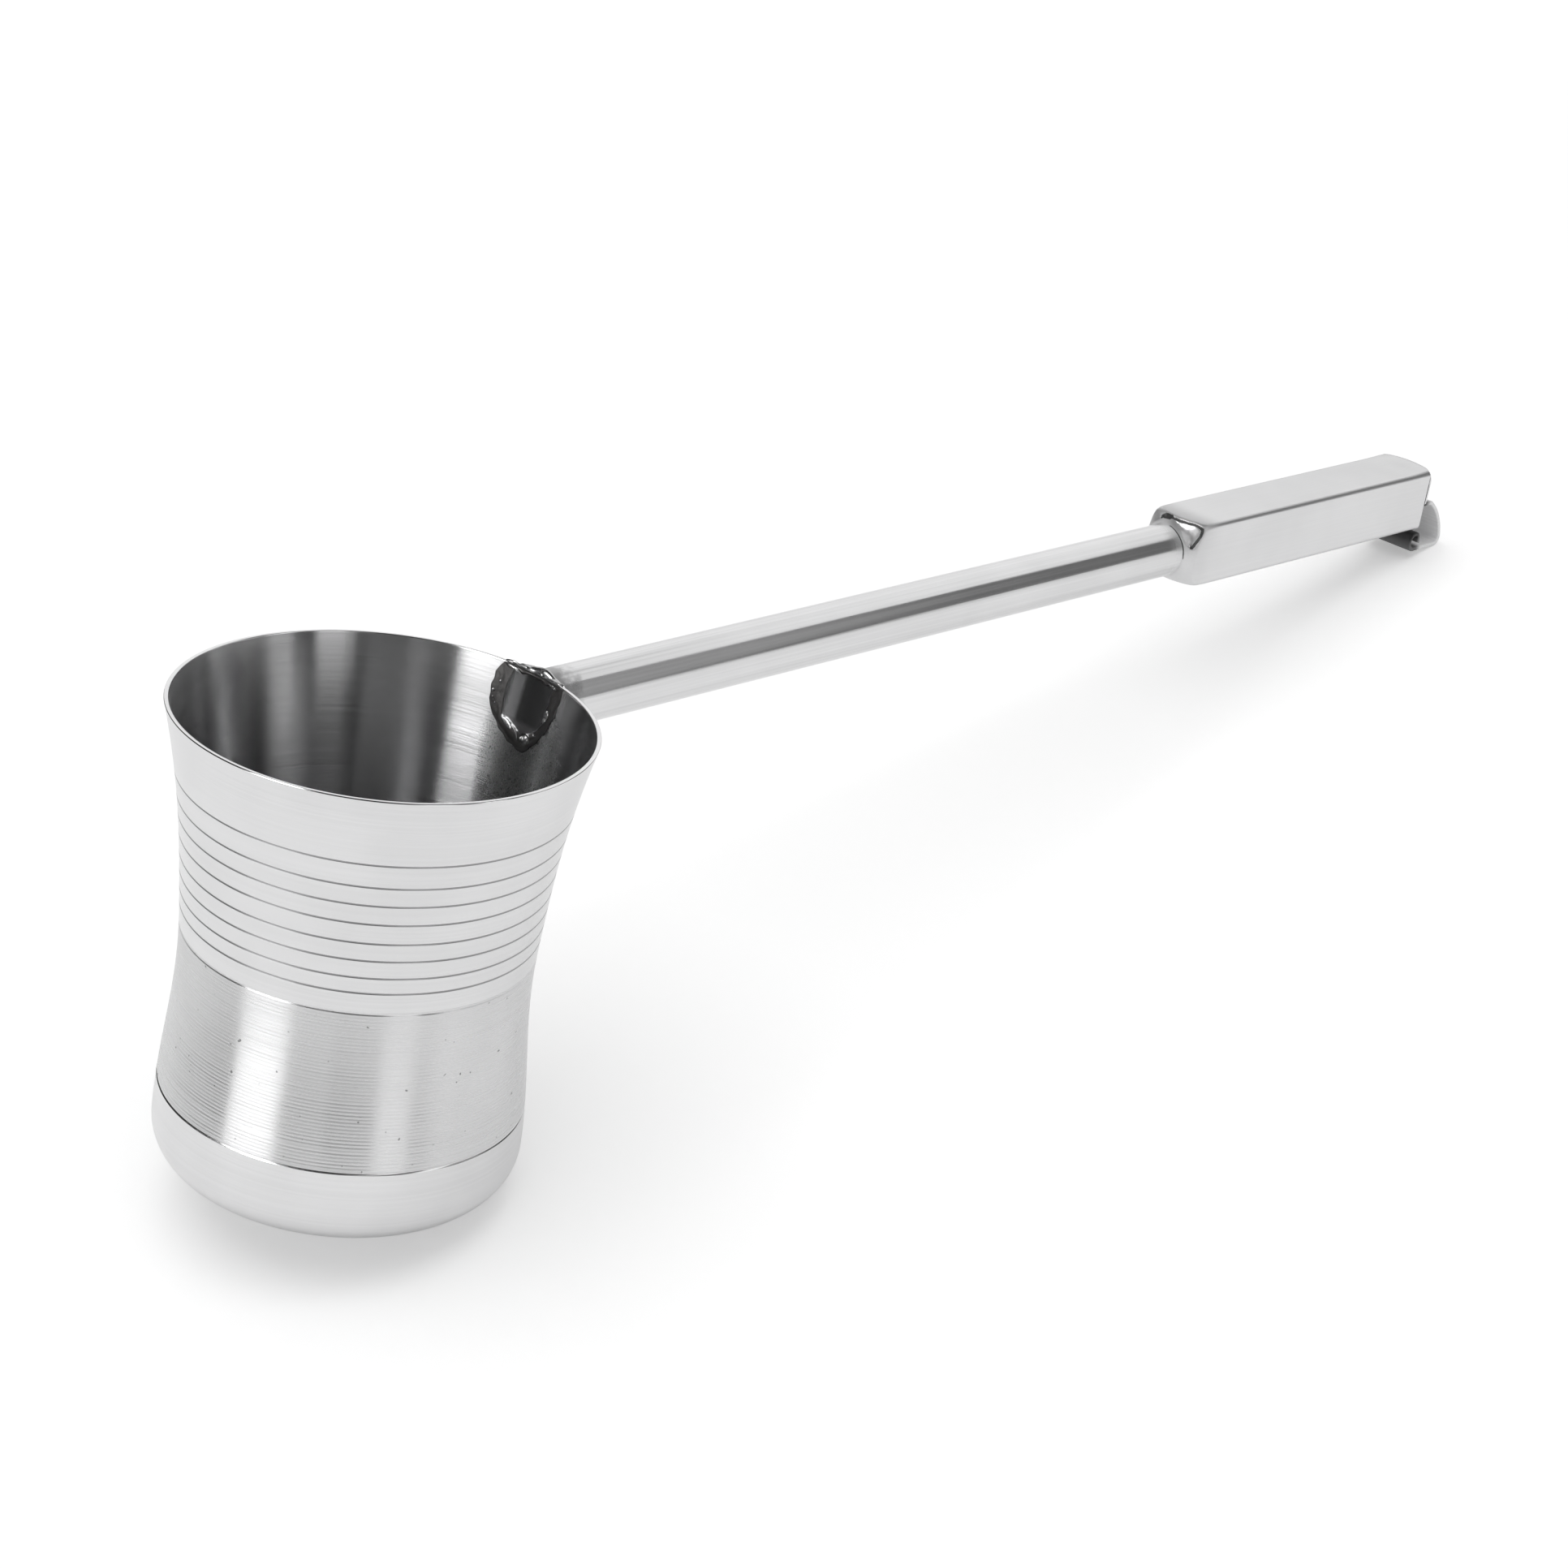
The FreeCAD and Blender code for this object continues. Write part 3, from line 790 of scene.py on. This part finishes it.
class Graph:
    """Shorthand for building a node tree."""

    def __init__(self, tree):
        self.tree = tree
        tree.nodes.clear()

    def add(self, kind, inputs=None, **settings):
        node = self.tree.nodes.new("ShaderNode" + kind)
        for key, value in settings.items():
            setattr(node, key, value)
        for key, value in (inputs or {}).items():
            if isinstance(value, bpy.types.NodeSocket):
                self.tree.links.new(value, node.inputs[key])
            else:
                node.inputs[key].default_value = value
        return node

    def math(self, operation, a, b=0.0):
        return self.add("Math", {0: a, 1: b}, operation=operation).outputs[0]

    def times(self, a, b):
        return self.math("MULTIPLY", a, b)

    def raised(self, value, mask, amount):
        """The value plus an amount where the mask is 1."""
        return self.math("ADD", value, self.times(mask, amount))

    def dimmed(self, value, mask, share):
        """The value less a share of it where the mask is 1."""
        return self.times(value, self.math("SUBTRACT", 1.0, self.times(mask, share)))

    def mixed(self, share, a, b):
        return self.add("Mix", {0: share, 2: a, 3: b}, data_type="FLOAT").outputs[0]

    def parted(self, vector):
        return self.add("SeparateXYZ", {0: vector}).outputs

    def ramp(self, value, low, high, to_low=0.0, to_high=1.0):
        sockets = {0: value, 1: low, 2: high, 3: to_low, 4: to_high}
        return self.add("MapRange", sockets, interpolation_type="SMOOTHSTEP").outputs[0]

    def scaled(self, vector, scale):
        return self.add("Mapping", {0: vector, 3: scale}).outputs[0]

    def noise(self, vector, scale, detail=3.0, roughness=0.55):
        sockets = {"Vector": vector, "Scale": scale, "Detail": detail, "Roughness": roughness}
        return self.add("TexNoise", sockets).outputs[0]


def steel(name, base, roughness, grain, grain_scale, bump, anisotropic=0.0, extra=None, uneven=0.08,
          metal=1.0):
    """Procedural steel: a fine grain stretched by grain (a scale for each axis) drives its tone,
    roughness and relief. extra(graph, place, tone, rough, relief) may change the last three. uneven is
    the grain's strength in tone and roughness. A metal share below 1 gives a paler, duller surface."""
    material = bpy.data.materials.new(name)
    material.use_nodes = True
    g = Graph(material.node_tree)
    row_place = g.add("TexCoord").outputs["Object"]
    sockets = {0: row_place, 1: PLACE.translation, 2: (0, lean, 0)}
    place = g.add("Mapping", sockets, vector_type="TEXTURE").outputs[0]
    lines = g.noise(g.scaled(place, grain), grain_scale, 4.0, 0.6)
    cloud = g.noise(place, 45.0, 2.0)
    streaks = g.ramp(lines, 0.25, 0.75, 1 - 0.75 * uneven, 1 + 0.5 * uneven)
    tone = g.times(streaks, g.ramp(cloud, 0.3, 0.7, 0.97, 1.02))
    rough = g.ramp(lines, 0.3, 0.7, roughness * (1 - uneven), roughness * (1 + uneven))
    relief = lines
    if extra:
        tone, rough, relief = extra(g, place, tone, rough, lines)
    colour = g.add("VectorMath", {0: base, 3: tone}, operation="SCALE").outputs[0]
    height = g.add("Bump", {"Strength": bump, "Distance": 0.0002, "Height": relief}).outputs[0]
    sockets = {"Base Color": colour, "Metallic": metal, "Roughness": rough, "Normal": height}
    if anisotropic:
        arm = g.add("VectorMath", {0: row_place, 1: PLACE.translation}, operation="SUBTRACT").outputs[0]
        round_cup = g.add("VectorMath", {0: PLACE.col[2].xyz, 1: arm}, operation="CROSS_PRODUCT").outputs[0]
        sockets.update({"Anisotropic": anisotropic, "Anisotropic Rotation": 0.25, "Tangent": round_cup})
    shader = g.add("BsdfPrincipled", sockets)
    g.add("OutputMaterial", {"Surface": shader.outputs[0]})
    return material


# Where marks in the steel and painted shade and light come or go, in metres in the cup's own frame.
# The lighter patch's start and end are turns about the cup's axis, in radians.
heat_span = (0.0495, 0.055)
scorch_span = (0.2425, 0.249)
swage_span = (0.253, 0.262)
# Painted shade on the loop's curl, along the handle and upwards
curl_shade_span, curl_shade_rise = (0.3555, 0.3585), (0.0775, 0.081)
handle_side = (0.015, 0.025)
# Painted shade on the inner wall, on the near side of the weld
shaded_span = (-0.0105, -0.0062)
# Painted shade in the tube's window, with a painted light strip in it
window_rise = (0.0865, 0.088)
window_side = (0.0068, 0.0072)
window_strip, window_strip_middle = (0.0008, 0.0022), 0.0045
# A lighter patch of the inner wall, over a span of turns and below a height
lighter_patch_start, lighter_patch_end = (0.2, 0.27), (0.44, 0.5)
lighter_patch_rise = (0.08, 0.09)
etched_middle, etched_span = (0.038, -0.0025, 0.0805), (0.009, 0.0165)
weld_middle, weld_span = (0.038, 0.0008, 0.0915), (0.0085, 0.0105)
stain_scale = 260.0


def heat_tint(graph, place, tone, rough, relief):
    """Darker, rougher steel beside the weld at the cup, and duller steel at the grip."""
    x = graph.parted(place)[0]
    near = graph.ramp(graph.raised(x, graph.noise(place, stain_scale), 0.012), *heat_span, 1.0, 0.0)
    rough = graph.raised(rough, near, 0.2)
    rough = graph.math("ADD", rough, graph.ramp(x, *scorch_span, 0.0, 0.22))
    return graph.dimmed(tone, near, 0.42), rough, relief


def shoulder_tint(graph, place, tone, rough, relief):
    """Duller steel where the grip is swaged down onto the tube."""
    near = graph.ramp(graph.parted(place)[0], *swage_span, 1.0, 0.0)
    return tone, graph.raised(rough, near, 0.2), relief


def curl_painted_shade(graph, place, tone, rough, relief):
    """Painted shade on the loop's curl under the grip, deeper towards its top."""
    x, _, z = graph.parted(place)
    share = graph.ramp(z, *curl_shade_rise, 0.84, 0.97)
    return graph.dimmed(tone, graph.ramp(x, *curl_shade_span, 1.0, 0.0), share), rough, relief


def inside_tint_and_painted_light(graph, place, tone, rough, relief):
    """Inner wall: painted shade on the near side of the weld and in the tube's window, with a painted
    light strip in the window, lighter beyond the weld, etched and wrinkled below it."""
    def distance(middle):
        offset = graph.add("VectorMath", {0: place, 1: middle}, operation="SUBTRACT").outputs[0]
        away = graph.add("VectorMath", {0: offset}, operation="LENGTH").outputs[1]
        return graph.raised(away, graph.noise(place, stain_scale), 0.005)

    x, y, z = graph.parted(place)
    handle = graph.ramp(x, *handle_side)
    # Painted shade on the near side of the weld
    tone = graph.dimmed(tone, graph.times(graph.ramp(y, *shaded_span, 1.0, 0.0), handle), 0.62)
    # Painted shade in the tube's window, and a painted light strip along it
    window = graph.times(graph.ramp(z, *window_rise), handle)
    window = graph.times(window, graph.ramp(graph.math("ABSOLUTE", y), *window_side, 1.0, 0.0))
    strip = graph.math("ABSOLUTE", graph.math("SUBTRACT", y, window_strip_middle))
    strip = graph.math("SUBTRACT", graph.ramp(strip, *window_strip, 1.5, 0.5), 1.0)
    tone = graph.times(tone, graph.raised(1.0, window, strip))
    # Lighter over a span of turns beyond the weld, below a height
    bearing = graph.math("ARCTAN2", y, x)
    lighter_patch = graph.times(graph.ramp(bearing, *lighter_patch_start), graph.ramp(bearing, *lighter_patch_end, 1.0, 0.0))
    tone = graph.times(tone, graph.raised(1.0, lighter_patch, graph.ramp(z, *lighter_patch_rise, 0.55, 0.0)))
    near = graph.ramp(distance(etched_middle), *etched_span, 1.0, 0.0)
    near = graph.times(near, graph.ramp(distance(weld_middle), *weld_span))
    wrinkles = graph.noise(graph.scaled(place, (0.7, 1.0, 0.5)), 4600.0, 2.0, 0.6)
    grain = graph.times(near, graph.ramp(wrinkles, 0.35, 0.65))
    tone = graph.raised(graph.dimmed(tone, near, 0.3), grain, 0.3)
    return tone, graph.raised(rough, grain, 0.12), graph.raised(relief, grain, 6.0)


def pitted(graph, place, tone, rough, relief):
    """A few fine dark pits and light scuffs in the turned band."""
    pits = graph.ramp(graph.noise(place, 900.0, 1.0, 0.3), 0.77, 0.8)
    scuffs = graph.ramp(graph.noise(graph.scaled(place, (1.0, 1.0, 3.0)), 700.0, 2.0), 0.66, 0.72)
    return graph.raised(graph.dimmed(tone, pits, 0.6), scuffs, 0.05), rough, relief


def make_materials():
    """The steels by name. Grain runs round the cup, along the handle or nowhere in particular."""
    round_grain, long_grain, no_grain = (0.006, 0.006, 1.0), (0.006, 1.0, 1.0), (1.0, 1.0, 1.0)
    return {
        "outside": steel("cup_polished", (0.80, 0.80, 0.805), 0.2, round_grain, 2500.0, 0.03, uneven=0.04),
        "band": steel("cup_turned", (0.78, 0.78, 0.785), 0.28, round_grain, 4000.0, 0.06, 0.95, pitted),
        "inside": steel("cup_brushed", (0.62, 0.62, 0.625), 0.25, round_grain, 4500.0, 0.05, 1.0,
                        inside_tint_and_painted_light, 0.09),
        "rim": steel("cup_rim", (0.82, 0.82, 0.825), 0.12, round_grain, 2500.0, 0.05),
        # The grooves' steel is darkened as painted shade
        "groove": steel("cup_groove_shade", (0.38, 0.38, 0.385), 0.3, round_grain, 2500.0, 0.03),
        "tube": steel("tube_polished", (0.78, 0.78, 0.785), 0.15, long_grain, 1800.0, 0.07, 0.0, heat_tint),
        "grip": steel("grip_satin", (0.79, 0.79, 0.795), 0.3, long_grain, 2200.0, 0.04, 0.0,
                      shoulder_tint, 0.025),
        # Darkened as painted shade in the creases
        "crease": steel("crease_shade", (0.05, 0.05, 0.05), 0.5, no_grain, 1500.0, 0.2, metal=0.5),
        "collar": steel("weld_satin", (0.74, 0.74, 0.745), 0.34, no_grain, 900.0, 0.2, metal=0.7),
        # The loop's curl carries painted shade
        "loop": steel("loop_satin", (0.95, 0.95, 0.955), 0.4, (1.0, 0.02, 1.0), 2000.0, 0.05, 0.0,
                      curl_painted_shade, metal=0.15),
        "weld": steel("weld_bright", (0.52, 0.52, 0.525), 0.25, no_grain, 900.0, 0.25),
        "dull": steel("weld_dull", (0.36, 0.36, 0.36), 0.32, no_grain, 1500.0, 0.4),
        "burnt": steel("weld_burnt", (0.13, 0.127, 0.125), 0.35, no_grain, 900.0, 0.4),
    }


# Studio, metres and degrees. Azimuth is counted from +X towards +Y.
floor_size = 2.8
camera_place = (-0.499424, -0.441170, 0.442639)
camera_turn = (57.346, 0.204, -46.286)
camera_lens = 79.33
sensor_width = 36.0
camera_near = 0.01
lamp_place = (-0.25, 0.1, 1.8)
lamp_size = 2.0
lamp_power = 19.5
floor_glow_seen = 0.3
floor_glow_mirrored = 0.13
# The floor turns plain white between these distances from its middle, and what steel mirrors of it
# is dark in a wedge beyond the grip
plain_span = (0.45, 1.2)
dark_span = (0.3, 0.4)
dark_spread = 0.45
# Brightness of what steel mirrors round about and overhead, and of the light on all that is matt
surround_level = 0.045
zenith_level = 0.04
shade_level = 0.45
# Soft cards that the steel mirrors. Degrees, azimuth from +X towards +Y: middle, half width, edge,
# lowest and highest elevation, lean of its sides, brightness
CARDS = (
    (175, 16, 1, -20, 22, 0, 1.5),
    (173.5, 14.5, 1, 12, 38, 0, 1.75),
    (204, 17, 1, 38, 74, -0.8, 8.3),
    (-154, 13, 2, -20, 18, 0, 0.52),
    (-125, 14, 2, -20, 18, 0, 0.24),
    (-101, 10, 1, -20, 12, 0, 1.3),
    (-101, 9, 1, 12, 68, 0.35, 0.75),
    (-75.4, 8, 1, 8, 62, 0.68, 1.35),
    (40, 28, 3, -8, 27, 0, 0.95),
    (1, 16, 2, 19, 33, 0, 0.95),
    (-38, 22, 1.5, -6, 30, 0, 0.14),
    (-57.5, 12, 1.5, -6, 30, 0.95, 0.36),
)


def make_floor():
    """Pale floor that keeps the shadow near the part and is plain white farther out."""
    half = floor_size / 2
    mesh = bpy.data.meshes.new("floor")
    corners = [(-half, -half, 0), (half, -half, 0), (half, half, 0), (-half, half, 0)]
    mesh.from_pydata(corners, [], [(0, 1, 2, 3)])
    material = bpy.data.materials.new("floor_white")
    material.use_nodes = True
    g = Graph(material.node_tree)
    path = g.add("LightPath")
    place = g.add("TexCoord").outputs["Object"]
    x, y, _ = g.parted(place)
    beside = g.math("SUBTRACT", g.math("ABSOLUTE", y), g.times(x, dark_spread))
    dark = g.times(g.ramp(x, *dark_span), g.ramp(beside, 0.0, 0.05, 1.0, 0.0))
    dark = g.times(dark, path.outputs["Is Glossy Ray"])
    seen = g.times(path.outputs["Is Glossy Ray"], floor_glow_mirrored)
    away = g.add("VectorMath", {0: place}, operation="LENGTH").outputs[1]
    plain = g.ramp(away, *plain_span, floor_glow_seen, 1.0)
    seen = g.math("MAXIMUM", seen, g.times(path.outputs["Is Camera Ray"], plain))
    paper = g.dimmed(g.ramp(g.noise(place, 2.0), 0.3, 0.7, 0.86, 0.88), dark, 0.85)
    diffuse = g.add("BsdfDiffuse", {"Color": paper})
    glow = g.add("Emission", {"Color": (1, 1, 1, 1), "Strength": seen})
    both = g.add("AddShader", {0: diffuse.outputs[0], 1: glow.outputs[0]})
    g.add("OutputMaterial", {"Surface": both.outputs[0]})
    mesh.materials.append(material)
    floor = bpy.data.objects.new("floor", mesh)
    bpy.context.scene.collection.objects.link(floor)


def make_world():
    """Even light all round and a white background. What steel mirrors is dark, with soft cards."""
    world = bpy.data.worlds.new("studio")
    bpy.context.scene.world = world
    world.use_nodes = True
    g = Graph(world.node_tree)
    x, y, z = g.parted(g.add("TexCoord").outputs["Generated"])
    azimuth = g.math("ARCTAN2", y, x)
    rise = g.math("ARCSINE", z)
    level = g.ramp(rise, math.radians(68), math.radians(80), surround_level, zenith_level)
    for middle, half, edge, low, high, leaning, bright in CARDS:
        turned = g.math("SUBTRACT", azimuth, g.times(rise, leaning))
        turned = g.math("WRAP", g.math("SUBTRACT", turned, math.radians(middle)), math.pi)
        turned.node.inputs[2].default_value = -math.pi
        card = g.ramp(g.math("ABSOLUTE", turned), math.radians(half), math.radians(half + edge), 1.0, 0.0)
        from_low = g.ramp(rise, math.radians(low), math.radians(low + 4), 0.0, 1.0)
        from_high = g.ramp(rise, math.radians(high), math.radians(high + 8), 1.0, 0.0)
        card = g.times(card, g.times(from_low, from_high))
        level = g.math("MAXIMUM", level, g.times(card, bright))
    path = g.add("LightPath")
    level = g.mixed(path.outputs["Is Glossy Ray"], shade_level, level)
    level = g.mixed(path.outputs["Is Camera Ray"], level, 1.0)
    back = g.add("Background", {"Color": (1, 1, 1, 1), "Strength": level})
    g.add("OutputWorld", {"Surface": back.outputs[0]})


def make_lamp():
    """One large soft lamp overhead, which steel doesn't mirror."""
    data = bpy.data.lights.new("overhead", "AREA")
    data.shape = "SQUARE"
    data.size = lamp_size
    data.energy = lamp_power
    lamp = bpy.data.objects.new("overhead", data)
    lamp.location = lamp_place
    lamp.visible_glossy = False
    lamp.visible_camera = False
    bpy.context.scene.collection.objects.link(lamp)


def make_camera():
    """The photograph's camera."""
    data = bpy.data.cameras.new("camera")
    data.lens = camera_lens
    data.sensor_width = sensor_width
    data.clip_start = camera_near
    camera = bpy.data.objects.new("camera", data)
    camera.location = camera_place
    camera.rotation_euler = [math.radians(turn) for turn in camera_turn]
    bpy.context.scene.collection.objects.link(camera)
    bpy.context.scene.camera = camera


materials = make_materials()
make_cup([materials[name] for name in ("outside", "band", "inside", "rim", "groove")])
make_tube(materials["tube"])
make_grip([materials["grip"], materials["crease"]])
make_collar_weld(materials["collar"])
make_loop(materials["loop"])
make_outside_weld(materials["weld"])
make_inside_weld(materials["burnt"], materials["weld"], materials["dull"])
make_rim_weld(materials["weld"])
make_floor()
make_world()
make_lamp()
make_camera()
bpy.context.scene.view_settings.view_transform = "Standard"
